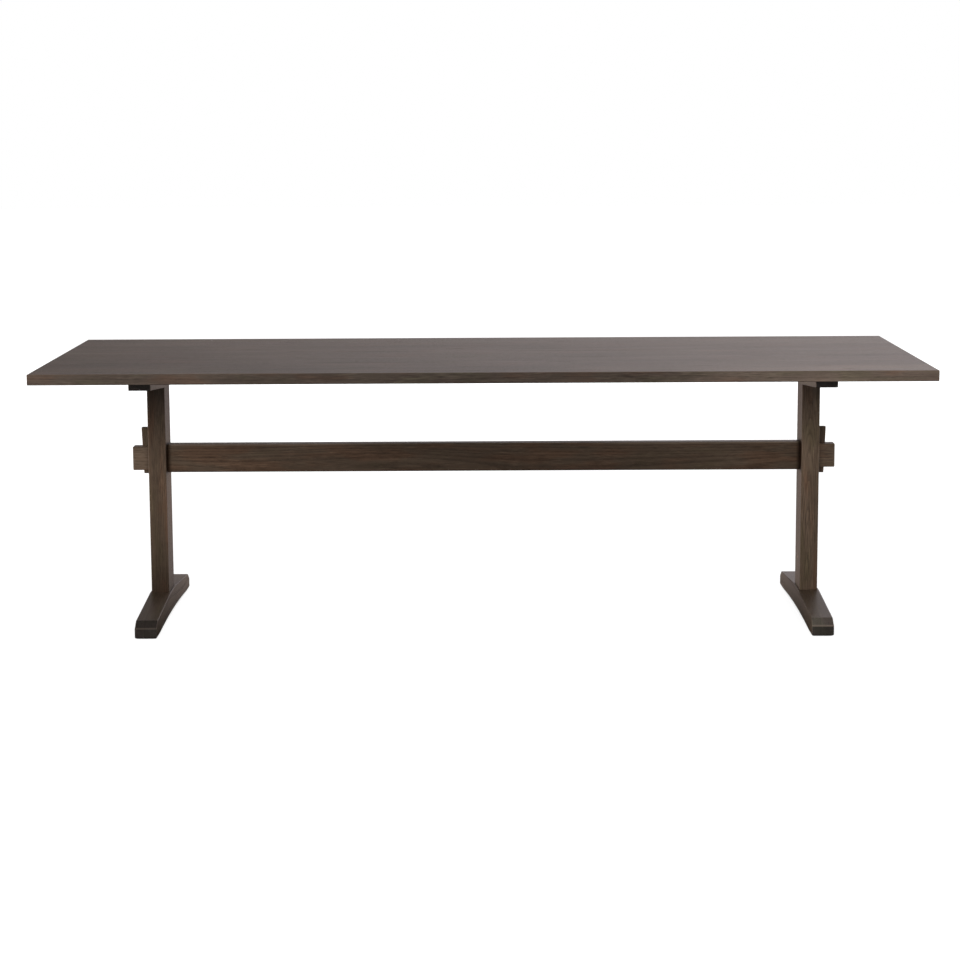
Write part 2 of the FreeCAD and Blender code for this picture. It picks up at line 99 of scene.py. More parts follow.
class NodeGraph:
    """The node tree of a new material, or of the room, with a short call for each kind of node."""

    def __init__(self, owner: Finish | bpy.types.World, shader: str = "Principled BSDF") -> None:
        """Start from the shader and output that a new tree has.

        Args:
            owner: The new material or world.
            shader: Its shader's name.
        """
        owner.use_nodes = True
        self.owner = owner
        self._tree = owner.node_tree
        self._shader = self._tree.nodes[shader]

    def feed(self, socket: Socket, value: object) -> None:
        """Link another socket into this one, or write a constant into it.

        Args:
            socket: The input to fill.
            value: An output socket, a number or a tuple of numbers.
        """
        if isinstance(value, Socket):
            self._tree.links.new(value, socket)
        else:
            socket.default_value = value

    def add(self, kind: str, inputs: dict | None = None, **settings: object) -> bpy.types.Node:
        """Add a node.

        Args:
            kind: The node's type.
            inputs: What goes into its inputs, by name or number.
            **settings: The node's own options.

        Returns:
            The new node.
        """
        node = self._tree.nodes.new(kind)
        for name, value in settings.items():
            setattr(node, name, value)
        for key, value in (inputs or {}).items():
            self.feed(node.inputs[key], value)
        return node

    def dress(self, **sockets: object) -> None:
        """Fill the shader's own inputs, whose names have underscores for spaces here."""
        for name, value in sockets.items():
            self.feed(self._shader.inputs[name.replace("_", " ")], value)

    def place(self) -> Socket:
        """Give the place on the piece."""
        return self.add("ShaderNodeTexCoord").outputs["Object"]

    def math(self, operation: str, *numbers: object) -> Socket:
        """Work out one number from others, taken one after the other.

        Args:
            operation: The math node's operation.
            *numbers: Numbers or sockets; one alone where the operation takes no more.

        Returns:
            The result's socket.
        """
        result, *others = numbers
        for other in others or [0.0]:
            result = self.add("ShaderNodeMath", {0: result, 1: other}, operation=operation).outputs[0]
        return result

    def swing(self, value: object, mean: object, weight: object) -> Socket:
        """Weigh how far a number lies from its mean."""
        return self.math("MULTIPLY", self.math("SUBTRACT", value, mean), weight)

    def vector(self, operation: str, first: object, second: object = (0, 0, 0)) -> Socket:
        """Work out a vector, or for a length or dot product a number, from one or two vectors."""
        node = self.add("ShaderNodeVectorMath", {0: first, 1: second}, operation=operation)
        return node.outputs["Value" if operation in ("LENGTH", "DOT_PRODUCT") else "Vector"]

    def scaled(self, vector: object, factor: object) -> Socket:
        """Scale a vector or a colour by a number."""
        return self.add("ShaderNodeVectorMath", {0: vector, "Scale": factor}, operation="SCALE").outputs[0]

    def split(self, vector: object) -> tuple[Socket, ...]:
        """Split a vector into its three numbers."""
        return tuple(self.add("ShaderNodeSeparateXYZ", {0: vector}).outputs)

    def between(self, value: object, low: float, high: float, out_low: float = 0.0,
                out_high: float = 1.0) -> Socket:
        """Ease from out_low, where the number is at low, to out_high, where it is at high."""
        inputs = {"Value": value, "From Min": low, "From Max": high, "To Min": out_low, "To Max": out_high}
        return self.add("ShaderNodeMapRange", inputs, interpolation_type="SMOOTHSTEP").outputs[0]

    def noise(self, point: object, patches: Patches, coloured: bool = False) -> Socket:
        """Add noise, whose patches may be longer along X than across it.

        Args:
            point: The place's socket.
            patches: Size and fineness of its patches.
            coloured: Whether to give three numbers, as a colour, in place of one.

        Returns:
            The noise's socket, each number 0 to 1.
        """
        shrink = (1 / patches.along, 1 / patches.across, 1 / patches.across)
        inputs = {"Vector": self.vector("MULTIPLY", point, shrink), "Scale": 1.0, "Detail": patches.detail,
                  "Roughness": patches.roughness}
        return self.add("ShaderNodeTexNoise", inputs).outputs[1 if coloured else 0]

    def mix(self, factor: object, first: object, second: object, blend: str = "MIX") -> Socket:
        """Mix two colours, with a factor of 0 to 1 for how much of the second."""
        node = self.add("ShaderNodeMix", {0: factor, 6: first, 7: second}, data_type="RGBA", blend_type=blend)
        return node.outputs[2]

    def level(self, factor: object, first: object, second: object) -> Socket:
        """Mix two numbers, with a factor of 0 to 1 for how much of the second."""
        return self.add("ShaderNodeMix", {"Factor": factor, "A": first, "B": second}).outputs[0]

    def bump(self, height: object, depth: float) -> Socket:
        """Turn a height of 0 to 1, and the depth of a full step, into a bumped normal."""
        return self.add("ShaderNodeBump", {"Height": height, "Distance": depth, "Strength": 1.0}).outputs[0]


# ---------------- the oak


@dataclass(frozen=True)
class SmokedOak:
    """Oak darkened right through by smoking, under a thin matt oil.

    Attributes:
        dark: Colour of the porous early wood.
        middle: Colour of the wood between.
        light: Colour of the dense late wood.
        reddish: What a warm streak is multiplied by.
        olive: What a cool streak is multiplied by.
        ring: Mean width of a year's growth.
        wander: How far the rings stray from straight.
        sheen_roughness: Roughness of the oiled face.
        gloss: How strongly the oil mirrors a lamp seen straight on.
        end_colour: What the end grain, which drinks the oil, is multiplied by.
        outer_lift: What the wood beyond a piece's set distance from the middle is multiplied by.
        bare_and_highlight: Colour of an arris that is made lighter, as wear and as a painted highlight.
        bare_and_highlight_share: How much of that colour shows where the lightening is greatest.
        corner_shade: What the wood in the corners by the stretcher is multiplied by, a painted shade.
        shaded: What a lower arris is multiplied by, a painted shade.
        pore_tone: How light a pore is beside the early wood.
        pore_share: How much of that colour shows in the middle of a pore.
        pore_depth: Depth of the open pores.
    """

    dark: Colour = paint(50, 40, 32)
    middle: Colour = paint(77, 63, 51)
    light: Colour = paint(106, 89, 74)
    reddish: Colour = (1.12, 0.97, 0.90, 1.0)
    olive: Colour = (0.95, 1.01, 0.92, 1.0)
    ring: float = 0.0034
    wander: float = 0.011
    sheen_roughness: float = 0.39
    gloss: float = 0.25
    end_colour: Colour = (0.37, 0.45, 0.58, 1.0)
    outer_lift: Colour = (1.43, 1.46, 1.50, 1.0)
    bare_and_highlight: Colour = paint(130, 116, 104)
    bare_and_highlight_share: float = 0.6
    corner_shade: Colour = (0.11, 0.06, 0.02, 1.0)
    shaded: Colour = (0.35, 0.33, 0.31, 1.0)
    pore_tone: float = 0.45
    pore_share: float = 0.55
    pore_depth: float = 0.00012


SLAB_OAK = SmokedOak(dark=paint(50, 42, 36), middle=paint(78, 67, 59), light=paint(106, 94, 83))


class GrainRun(Enum):
    """Which way the grain runs in a piece, as the turn that lays it along X."""

    LENGTHWAYS = (0.0, 0.0, 0.0)
    CROSSWAYS = (0.0, 0.0, math.pi / 2)
    UPRIGHT = (0.0, math.pi / 2, 0.0)

    @property
    def turn(self) -> Matrix:
        """The turn as a matrix."""
        return Euler(self.value).to_matrix()

    @property
    def direction(self) -> Vector:
        """The grain's direction in the table's own frame."""
        return self.turn.transposed() @ Vector((1, 0, 0))


@dataclass(frozen=True)
class Board:
    """How one wooden piece was sawn from its log, what use has done to it, and the light and shade painted on
    it.

    Attributes:
        run: Which way its grain runs.
        heart: Where the log's heart lies from the piece's middle, across the grain.
        log_place: How far along the log the piece was cut, so no two pieces match.
        tone: How light it came out beside the others.
        warmth: How red it came out, from -1 for olive to 1 for reddish brown.
        stave: Width of the staves that the piece is glued up from, or 0 for one plank.
        lighter_beyond: Distance from the middle beyond which it is lighter.
        tone_and_light_drift: How light it is at its left, back or lower end, in its middle and at its other
            end; partly its own tone, partly painted shade and light, such as the darker upper ends of the
            posts under the slab and a painted sheen on the feet's back ends.
        lean: How far the heart strays sideways and deep over each metre, which draws arched figure.
        end_tone: How light its end grain came out beside the others' end grain.
        nose_sheen_lift: How much lighter a slanting cut across the grain is made than a square one, a painted
            sheen.
        crease: Height of the crease across its ends, and how strong a painted highlight it gets.
        arris_wear_and_highlight: How far its arrises are made lighter, as wear and as a painted highlight,
            from 0 for not at all to 1.
        upper_edge_wear_and_highlight: How much its sides are made lighter just under its upper edge, towards
            its ends, as wear and as a painted highlight.
        has_corner_shade: Whether it has a painted shade in the corners where the stretcher's cheek meets a
            post.
        oak: Its finish.
    """

    run: GrainRun
    heart: Pair
    log_place: float
    tone: float = 1.0
    warmth: float = 0.0
    stave: float = 0.0
    lighter_beyond: float = 10.0
    tone_and_light_drift: Triple = (1.0, 1.0, 1.0)
    lean: Pair = (0.0, 0.0)
    end_tone: float = 1.0
    nose_sheen_lift: float = 1.0
    crease: Pair = (0.0, 0.0)
    arris_wear_and_highlight: float = 1.0
    upper_edge_wear_and_highlight: float = 0.0
    has_corner_shade: bool = False
    oak: SmokedOak = SmokedOak()


class SawnOak(NodeGraph):
    """The figure, wear, oil and painted light and shade of one piece of smoked oak, drawn with nodes.

    The pairs in capitals are spans: where on its scale a feature starts and where it is full, or
    the least and the greatest result.
    """

    FIBRES = Patches(0.038, 0.0019, detail=3.0, roughness=0.6)
    FIBROUS_AREAS = Patches(0.10, 0.03)
    STREAKS = Patches(0.16, 0.013, detail=2.5, roughness=0.55)
    CLOUDS = Patches(0.40, 0.08)
    RING_STRAY = Patches(0.75, 0.16, detail=1.5)
    PORES = Patches(0.011, 0.00034, detail=1.0)
    WARM_STREAKS = Patches(0.16, 0.034)
    WEAR_AND_HIGHLIGHT_AREAS = Patches(0.05, 0.02)

    FIBROUS = (0.35, 0.65)
    FIBRE_STRENGTH = (0.35, 1.25)
    LATE_WOOD = (0.08, 0.62)
    YEAR_END = (0.985, 1.0)
    PORE_LIMIT = (0.56, 0.70)
    WARM = (0.5, 0.72)
    COOL = (0.5, 0.30)
    END_GRAIN = (0.3, 0.52)
    SQUARE_END = (0.55, 0.8)
    ARRIS = (0.16, 0.27)
    UPPER = (-0.5, -0.1)
    LOWER = (-0.1, -0.35)
    OFF_BOTTOM = (-0.98, -0.85)
    WEAR_AND_HIGHLIGHT_SPAN = (0.35, 0.6)
    ON_END = (0.2, 0.3)
    SHORT_OF_POST = (-0.0015, -0.0005)

    SHADE_STOPS = (0.12, 0.5, 0.9)
    WARMTH_REACH = 0.08
    UNEVEN_SCALE = 90.0
    UNEVEN_YEARS = 2.4
    PORE_SHARPNESS = 14.0
    STAVE_JUMP = 7.0
    STAVE_DEPTH = 0.06
    MEAN_DRIFT = 0.9
    DRIFT_BEHIND = 0.2
    LIGHTER_FADE = 0.015
    FIBRE_HEIGHT = 0.5
    RING_HEIGHT = 0.18
    FIBRE_ROUGHNESS = 0.14
    PORE_ROUGHNESS = 0.16
    END_ROUGHNESS = 0.2

    def __init__(self, node: str, board: Board) -> None:
        """Start the piece's material and let its wood grow.

        Args:
            node: The piece's name in the frame.
            board: How the piece was sawn.
        """
        super().__init__(bpy.data.materials.new(f"oak_{node}"))
        self.board = board
        self.oak = board.oak
        self.low, self.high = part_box(node)
        grain = board.run.direction
        self.half_length = abs((self.high - self.low).dot(grain)) / 2
        self.point = self.place()
        self.x, self.y, self.z = self.split(self.point)
        self.normal = self.add("ShaderNodeNewGeometry").outputs["Normal"]
        self.facing = self.math("ABSOLUTE", self.vector("DOT_PRODUCT", self.normal, tuple(grain)))
        self.end = self.between(self.facing, *self.END_GRAIN)
        self.in_log = self._place_in_log()
        log_along, self.sideways, _ = self.split(self.in_log)
        self.along = self.math("SUBTRACT", log_along, board.log_place)
        self.from_middle = self.math("ABSOLUTE", self.along)
        self.across, self.shade = self._staves()
        self.late = self._rings()
        self.fibre = self._fibre()
        self.pores = self._pores()

    def material(self) -> Finish:
        """Put the colour, the gloss and the open grain on the shader.

        Returns:
            The material.
        """
        fibre_height = self.math("MULTIPLY", self.fibre, self.FIBRE_HEIGHT)
        ring_height = self.math("MULTIPLY", self.late, self.RING_HEIGHT)
        height = self.math("SUBTRACT", self.math("ADD", fibre_height, ring_height), self.pores)
        fibrous = self.swing(self.fibre, 0.5, self.FIBRE_ROUGHNESS)
        porous = self.math("MULTIPLY", self.pores, self.PORE_ROUGHNESS)
        thirsty = self.math("MULTIPLY", self.end, self.END_ROUGHNESS)
        roughness = self.math("ADD", fibrous, self.oak.sheen_roughness, porous, thirsty)
        self.dress(Base_Color=self._wear_and_painted_light(self._wood()), Roughness=roughness,
                   Specular_IOR_Level=self.oak.gloss, Normal=self.bump(height, self.oak.pore_depth))
        return self.owner

    def _place_in_log(self) -> Socket:
        """Turn the piece so its grain lies along X, with the log's heart at the origin.

        Returns:
            The socket of the place in the log.
        """
        sideways, deep = self.board.heart
        run = self.board.run
        middle = (self.low + self.high) / 2
        shift = Vector((self.board.log_place, -sideways, -deep)) - run.turn @ middle
        inputs = {"Vector": self.point, "Rotation": run.value, "Location": tuple(shift)}
        return self.add("ShaderNodeMapping", inputs).outputs["Vector"]

    def _staves(self) -> tuple[Socket, object]:
        """Give each glued stave a heart and a shade of its own.

        Returns:
            The place from the stave's own heart, and the stave's shade, 0 to 1.
        """
        stave = self.board.stave
        if not stave:
            return self.in_log, 0.5
        number = self.math("FLOOR", self.math("DIVIDE", self.sideways, stave))
        chance = self.add("ShaderNodeTexWhiteNoise", {"W": number}, noise_dimensions="1D").outputs
        heart = self.math("MULTIPLY", self.math("ADD", number, chance["Value"]), stave)
        shade, depth, _ = self.add("ShaderNodeSeparateColor", {0: chance["Color"]}).outputs
        jump = self.math("MULTIPLY", shade, self.STAVE_JUMP)
        deep = self.math("MULTIPLY", depth, self.STAVE_DEPTH)
        shift = self.add("ShaderNodeCombineXYZ", {0: jump, 1: heart, 2: deep}).outputs[0]
        return self.vector("SUBTRACT", self.in_log, shift), shade

    def _rings(self) -> Socket:
        """Lay the year rings round the heart.

        Returns:
            The socket of the wood in its ring, 0 early to 1 late.
        """
        reach = 2 * self.oak.wander
        stray = self.noise(self.across, self.RING_STRAY, coloured=True)
        stray = self.vector("MULTIPLY", self.vector("SUBTRACT", stray, (0.5, 0.5, 0.5)), (0.0, reach, reach))
        lean = self.scaled((0.0, *self.board.lean), self.along)
        bent = self.vector("ADD", self.vector("ADD", self.across, stray), lean)
        radius = self.vector("LENGTH", self.vector("MULTIPLY", bent, (0.0, 1.0, 1.0)))
        inputs = {"W": radius, "Scale": self.UNEVEN_SCALE, "Detail": 1.0}
        uneven = self.add("ShaderNodeTexNoise", inputs, noise_dimensions="1D").outputs[0]
        years = self.math("DIVIDE", radius, self.oak.ring)
        years = self.math("ADD", years, self.math("MULTIPLY", uneven, self.UNEVEN_YEARS))
        share = self.math("FRACT", years)
        fall = self.between(share, *self.YEAR_END, 1.0, 0.0)
        return self.math("MULTIPLY", self.between(share, *self.LATE_WOOD), fall)

    def _fibre(self) -> Socket:
        """Draw the fine fibres, plain in some patches and faint in others.

        Returns:
            The socket of the fibre's lightness, 0 to 1 round a half.
        """
        areas = self.noise(self.across, self.FIBROUS_AREAS)
        strength = self.between(areas, *self.FIBROUS, *self.FIBRE_STRENGTH)
        return self.math("ADD", self.swing(self.noise(self.across, self.FIBRES), 0.5, strength), 0.5)

    def _pores(self) -> Socket:
        """Scatter open pores, long along the grain and most of them in the early wood.

        Returns:
            The socket of how deep the place lies in a pore, 0 to 1.
        """
        speck = self.noise(self.across, self.PORES)
        limit = self.between(self.late, 0.0, 1.0, *self.PORE_LIMIT)
        return self.between(self.swing(speck, limit, self.PORE_SHARPNESS), 0.0, 1.0)

    def _lightness(self) -> Socket:
        """Add up what makes the wood lighter or darker from place to place.

        Returns:
            The socket of the lightness, 0 to 1 with a mean of about a half.
        """
        streak = self.noise(self.across, self.STREAKS)
        cloud = self.noise(self.across, self.CLOUDS)
        parts_means_weights = ((self.late, 0.62, 0.10), (self.fibre, 0.5, 1.05), (streak, 0.5, 0.22),
                               (cloud, 0.5, 0.6), (self.shade, 0.5, 0.12))
        return self.math("ADD", 0.5, *(self.swing(*part) for part in parts_means_weights))

    def _wood(self) -> Socket:
        """Colour the wood: brown, warmer in some streaks and cooler in others, with dark pores.

        Returns:
            The colour's socket.
        """
        oak, board = self.oak, self.board
        ramp = self.add("ShaderNodeValToRGB", {"Fac": self._lightness()})
        stops = ramp.color_ramp.elements
        stops.new(0.5)
        for stop, place, shade in zip(stops, self.SHADE_STOPS, (oak.dark, oak.middle, oak.light)):
            stop.position = place
            stop.color = toned(shade, board.tone)
        colour = ramp.outputs["Color"]
        streaks = self.noise(self.across, self.WARM_STREAKS)
        warmth = self.math("ADD", streaks, self.WARMTH_REACH * board.warmth)
        for span, tint in ((self.WARM, oak.reddish), (self.COOL, oak.olive)):
            colour = self.mix(self.between(warmth, *span), colour, tint, blend="MULTIPLY")
        in_pore = self.math("MULTIPLY", self.pores, oak.pore_share)
        colour = self.mix(in_pore, colour, toned(oak.dark, oak.pore_tone * board.tone))
        return self.scaled(colour, self._tone_and_light_drift())

    def _tone_and_light_drift(self) -> Socket:
        """Let the wood grow lighter or darker along the piece, in a slab mostly on its front stave; partly
        the wood's own tone, partly painted shade and light.

        Returns:
            The socket of what the colour is multiplied by.
        """
        stave = self.board.stave
        start, middle, end = self.board.tone_and_light_drift
        before = self.between(self.along, -self.half_length, 0.0, start, middle)
        after = self.between(self.along, 0.0, self.half_length, 0.0, end - middle)
        tone_and_light_drift = self.math("ADD", before, after)
        if not stave:
            return tone_and_light_drift
        seam = stave - (self.high.y - self.low.y) / 2
        front = self.between(self.sideways, seam, seam + 0.1 * stave, 1.0, self.DRIFT_BEHIND)
        return self.math("ADD", self.swing(tone_and_light_drift, self.MEAN_DRIFT, front), self.MEAN_DRIFT)

    def _wear_and_painted_light(self, colour: Socket) -> Socket:
        """Put on the wood its lighter outer parts, its darker end grain and its wear, with painted light and
        shade: highlights on upper arrises, creases and the stretcher's upper strip, and shade along lower
        arrises and in the corners by the stretcher.

        Args:
            colour: The wood's own colour.

        Returns:
            The colour's socket.
        """
        oak, board = self.oak, self.board
        # The piece is lighter beyond a set distance from its middle, as at the stretcher's tenons.
        lighter_beyond = self.between(self.from_middle, board.lighter_beyond - self.LIGHTER_FADE,
                               board.lighter_beyond + self.LIGHTER_FADE)
        # A slanting end is made lighter as a painted sheen.
        slant_tone_with_sheen = board.end_tone * board.nose_sheen_lift
        end_tone = self.between(self.facing, *self.SQUARE_END, slant_tone_with_sheen, board.end_tone)
        end_colour = self.scaled(oak.end_colour[:3], end_tone)
        upper, lower = self._arrises()
        # The lower arrises are darkened as a painted shade.
        for share, tint in ((lighter_beyond, oak.outer_lift), (self.end, end_colour), (lower, oak.shaded)):
            colour = self.mix(share, colour, tint, blend="MULTIPLY")
        # Upper arrises and the stretcher's upper strip are made lighter as wear and as a painted highlight;
        # the feet's creases get a painted highlight.
        wear_and_highlight = [upper, self._crease_highlight()]
        if board.upper_edge_wear_and_highlight:
            wear_and_highlight.append(self._upper_edge_wear_and_highlight())
        bare_and_highlight = self.mix(oak.bare_and_highlight_share, colour, oak.bare_and_highlight)
        colour = self.mix(self.math("MAXIMUM", *wear_and_highlight), colour, bare_and_highlight)
        # Painted shade in the corners where the stretcher meets the posts.
        if board.has_corner_shade:
            colour = self.mix(self._painted_corner_shade(), colour, oak.corner_shade, blend="MULTIPLY")
        return colour

    def _arrises(self) -> tuple[Socket, Socket]:
        """Find the eased edges: upper ones are made lighter, as wear and as a painted highlight, and lower
        ones get a painted shade.

        Returns:
            The sockets of the upper arrises' wear and painted highlight, and of the lower arrises' painted
            shade, 0 to 1.
        """
        widest = self.math("MAXIMUM", *self.split(self.vector("ABSOLUTE", self.normal)))
        arris = self.between(self.math("SUBTRACT", 1.0, widest), *self.ARRIS)
        upward = self.split(self.normal)[2]
        patchy = self.between(self.noise(self.in_log, self.WEAR_AND_HIGHLIGHT_AREAS), *self.WEAR_AND_HIGHLIGHT_SPAN, 0.5, 1.0)
        upper = self.between(upward, *self.UPPER, 0.0, self.board.arris_wear_and_highlight)
        lower = self.between(upward, *self.LOWER)
        sloping = self.between(upward, *self.OFF_BOTTOM)
        return self.math("MULTIPLY", arris, upper, patchy), self.math("MULTIPLY", lower, sloping)

    def _crease_highlight(self) -> Socket:
        """Find the crease between a sloping nose and its upright end, where a painted highlight goes.

        Returns:
            The socket of how strong the painted highlight is, 0 to 1.
        """
        height, wear_and_highlight = self.board.crease
        full_within, none_beyond = 0.0010, 0.0026
        away = self.math("ABSOLUTE", self.math("SUBTRACT", self.z, height))
        band = self.between(away, full_within, none_beyond, wear_and_highlight, 0.0)
        return self.math("MULTIPLY", band, self.between(self.facing, *self.ON_END))

    def _upper_edge_wear_and_highlight(self) -> Socket:
        """Find the strip just under a rail's upper edge, towards its ends, made lighter as wear and as a
        painted highlight.

        Returns:
            The socket of how light the place is made, 0 to 1.
        """
        top = self.high.z
        none_below, full_above = top - 0.006, top - 0.0025
        none_within, full_beyond = 0.15 * self.half_length, 0.6 * self.half_length
        strip = self.between(self.z, none_below, full_above, 0.0, self.board.upper_edge_wear_and_highlight)
        return self.math("MULTIPLY", strip, self.between(self.from_middle, none_within, full_beyond))

    def _painted_corner_shade(self) -> Socket:
        """Find the corners between the stretcher and the posts, which get a painted shade.

        Returns:
            The socket of how strong the painted shade is, 0 to 1.
        """
        rail_low, rail_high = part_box("stretcher")
        post_low, post_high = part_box("right_post")
        along_rail, past_rail, overlap = 0.014, 0.009, 0.001
        past_cheek, past_post = 0.008, 0.010
        deepest, at_edge = 0.9, 0.4
        gap = self.math("SUBTRACT", post_low.x, self.math("ABSOLUTE", self.x))
        short_of_post = self.between(gap, *self.SHORT_OF_POST)
        near_post = self.between(gap, 0.0, along_rail, deepest, 0.0)
        cheek, edge = rail_high.y + past_cheek, post_high.y + past_post
        inward = self.between(self.math("ABSOLUTE", self.y), cheek, edge, 1.0, at_edge)
        over_bottom = self.between(self.z, rail_low.z - past_rail, rail_low.z + overlap)
        under_top = self.between(self.z, rail_high.z - overlap, rail_high.z + past_rail, 1.0, 0.0)
        return self.math("MULTIPLY", short_of_post, near_post, inward, over_bottom, under_top)


# ---------------- metal and felt


@dataclass(frozen=True)
class BlackenedSteel:
    """Zinc-plated steel, blackened, as on furniture screws.

    Attributes:
        colour: Colour of the plating.
        cloudy_tone: How light a cloudy patch is beside the rest.
        roughness: Least and greatest roughness.
    """

    colour: Colour = paint(74, 74, 76)
    cloudy_tone: float = 0.7
    roughness: Pair = (0.28, 0.46)

    CLOUDS = Patches(0.004, 0.004, detail=3.0)
    TOOL_MARKS = Patches(0.0009, 0.00012)
    MARK_DEPTH = 0.00001

    def material(self) -> Finish:
        """Make the plating, a little cloudy and marked by tools.

        Returns:
            The material.
        """
        graph = NodeGraph(bpy.data.materials.new("blackened_steel"))
        place = graph.place()
        cloud = graph.noise(place, self.CLOUDS)
        mark = graph.noise(place, self.TOOL_MARKS)
        graph.dress(Base_Color=graph.mix(cloud, self.colour, toned(self.colour, self.cloudy_tone)),
                    Metallic=1.0, Roughness=graph.between(mark, *NOISE_SPAN, *self.roughness),
                    Normal=graph.bump(mark, self.MARK_DEPTH))
        return graph.owner


@dataclass(frozen=True)
class TurnedBrass:
    """Plain brass as it leaves the lathe.

    Attributes:
        colour: Colour of the metal.
        dull_tone: How light a tarnished patch is beside the rest.
        roughness: Least and greatest roughness.
    """

    colour: Colour = paint(196, 160, 96)
    dull_tone: float = 0.6
    roughness: Pair = (0.3, 0.42)

    TARNISH = Patches(0.006, 0.006, detail=3.0)
    DULL = (0.4, 0.8)
    TURNING_SCALE = 1400.0
    TURNING_DEPTH = 0.00001

    def material(self) -> Finish:
        """Make the brass, with the lathe's fine rings.

        Returns:
            The material.
        """
        graph = NodeGraph(bpy.data.materials.new("turned_brass"))
        place = graph.place()
        tarnish = graph.noise(place, self.TARNISH)
        dull = toned(self.colour, self.dull_tone)
        colour = graph.mix(graph.between(tarnish, *self.DULL), self.colour, dull)
        inputs = {"Vector": place, "Scale": self.TURNING_SCALE, "Distortion": 0.6}
        rings = graph.add("ShaderNodeTexWave", inputs, bands_direction="Z").outputs[1]
        graph.dress(Base_Color=colour, Metallic=1.0,
                    Roughness=graph.between(tarnish, *NOISE_SPAN, *self.roughness),
                    Normal=graph.bump(rings, self.TURNING_DEPTH))
        return graph.owner


@dataclass(frozen=True)
class PressedFelt:
    """Dense wool felt, pressed hard.

    Attributes:
        dark: Colour between the fibres.
        light: Colour of the fibres on top.
    """

    dark: Colour = paint(46, 42, 39)
    light: Colour = paint(88, 82, 76)

    TUFTS = Patches(0.0016, 0.0016, detail=4.0, roughness=0.7)
    FIBRES = Patches(0.0011, 0.0001)
    BENDS = Patches(0.003, 0.003)
    BEND_REACH = 0.004
    FIBRE_DEPTH = 0.0002
    TUFT_SHARE = 0.6
    ON_TOP = (0.35, 0.65)

    def material(self) -> Finish:
        """Make the felt out of matted fibres that lie every way.

        Returns:
            The material.
        """
        graph = NodeGraph(bpy.data.materials.new("pressed_felt"))
        place = graph.place()
        tuft = graph.noise(place, self.TUFTS)
        stray = graph.scaled(graph.noise(place, self.BENDS, coloured=True), self.BEND_REACH)
        fibre = graph.noise(graph.vector("ADD", place, stray), self.FIBRES)
        matted = graph.level(self.TUFT_SHARE, fibre, tuft)
        graph.dress(Base_Color=graph.mix(graph.between(matted, *self.ON_TOP), self.dark, self.light),
                    Roughness=0.95, Sheen_Weight=0.3, Sheen_Roughness=0.6,
                    Normal=graph.bump(matted, self.FIBRE_DEPTH))
        return graph.owner


# ---------------- modelling helpers


def clear_selection() -> None:
    """Leave edit mode and deselect everything."""
    if bpy.context.mode != "OBJECT":
        bpy.ops.object.mode_set(mode="OBJECT")
    bpy.ops.object.select_all(action="DESELECT")


def select_only(*pieces: Piece) -> None:
    """Leave edit mode and select these pieces alone.

    Args:
        *pieces: The pieces, of which the first becomes the active one.
    """
    clear_selection()
    for piece in pieces:
        piece.select_set(True)
    bpy.context.view_layer.objects.active = pieces[0]


def select_parts(piece: Piece, kind: str, wanted: Callable[..., bool]) -> None:
    """Go into edit mode with the wanted faces or edges selected.

    Args:
        piece: The piece to edit.
        kind: "FACE" or "EDGE".
        wanted: Tells whether a face, or the edge between two places, is to be selected.
    """
    select_only(piece)
    mesh = piece.data
    for part in (mesh.vertices, mesh.edges, mesh.polygons):
        part.foreach_set("select", [False] * len(part))
    if kind == "FACE":
        mesh.polygons.foreach_set("select", [wanted(face) for face in mesh.polygons])
    else:
        ends = [[mesh.vertices[end].co.copy() for end in edge.vertices] for edge in mesh.edges]
        mesh.edges.foreach_set("select", [wanted(*pair) for pair in ends])
    bpy.ops.object.mode_set(mode="EDIT")
    bpy.ops.mesh.select_mode(type=kind)


def settle(piece: Piece) -> Piece:
    """Move the piece's place, turn and scale into its mesh.

    Args:
        piece: The finished piece.

    Returns:
        The same piece, its object at the origin.
    """
    select_only(piece)
    bpy.ops.object.transform_apply(location=True, rotation=True, scale=True)
    return piece


def smooth(piece: Piece, degrees: float) -> None:
    """Shade the piece smooth, but for edges sharper than an angle."""
    select_only(piece)
    bpy.ops.object.shade_smooth_by_angle(angle=math.radians(degrees))


def copy_to(piece: Piece, places: list[Vector], name: str) -> Piece:
    """Repeat a piece that is modelled round the origin, and join the copies.

    Args:
        piece: The pattern piece, which is used up.
        places: Where each copy goes.
        name: Name of the joined piece.

    Returns:
        The joined piece.
    """
    copies = []
    for place in places:
        one = piece.copy()
        one.data = piece.data.copy()
        one.location = place
        bpy.context.scene.collection.objects.link(one)
        copies.append(one)
    bpy.data.objects.remove(piece)
    select_only(*copies)
    bpy.ops.object.join()
    copies[0].name = name
    LOG.info("%s: %d polygons", name, len(copies[0].data.polygons))
    return settle(copies[0])


def give(piece: Piece, material: Finish) -> None:
    """Put one material all over a piece, in place of what it had.

    Args:
        piece: The piece, new or from the frame.
        material: Its finish.
    """
    if not piece.material_slots:
        piece.data.materials.append(material)
    for slot in piece.material_slots:
        slot.material = material


def oil(node: str, board: Board) -> None:
    """Give one wooden piece of the frame its oak."""
    give(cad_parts[node], SawnOak(node, board).material())
    LOG.info("%s: grain %s", node, board.run.name.lower())


# ---------------- the table's own pieces


class Side(Enum):
    """An end of the table."""

    LEFT = "left"
    RIGHT = "right"


@dataclass
class Slab:
    """The top: full-length staves glued edge to edge.

    Attributes:
        board: How the staves were sawn.
    """

    board: Board = Board(GrainRun.LENGTHWAYS, heart=(0.013, -0.085), log_place=3.1, stave=0.125,
                         tone_and_light_drift=(1.0, 0.62, 1.6), oak=SLAB_OAK)

    def dress(self) -> None:
        """Oil the slab."""
        oil("tabletop", self.board)


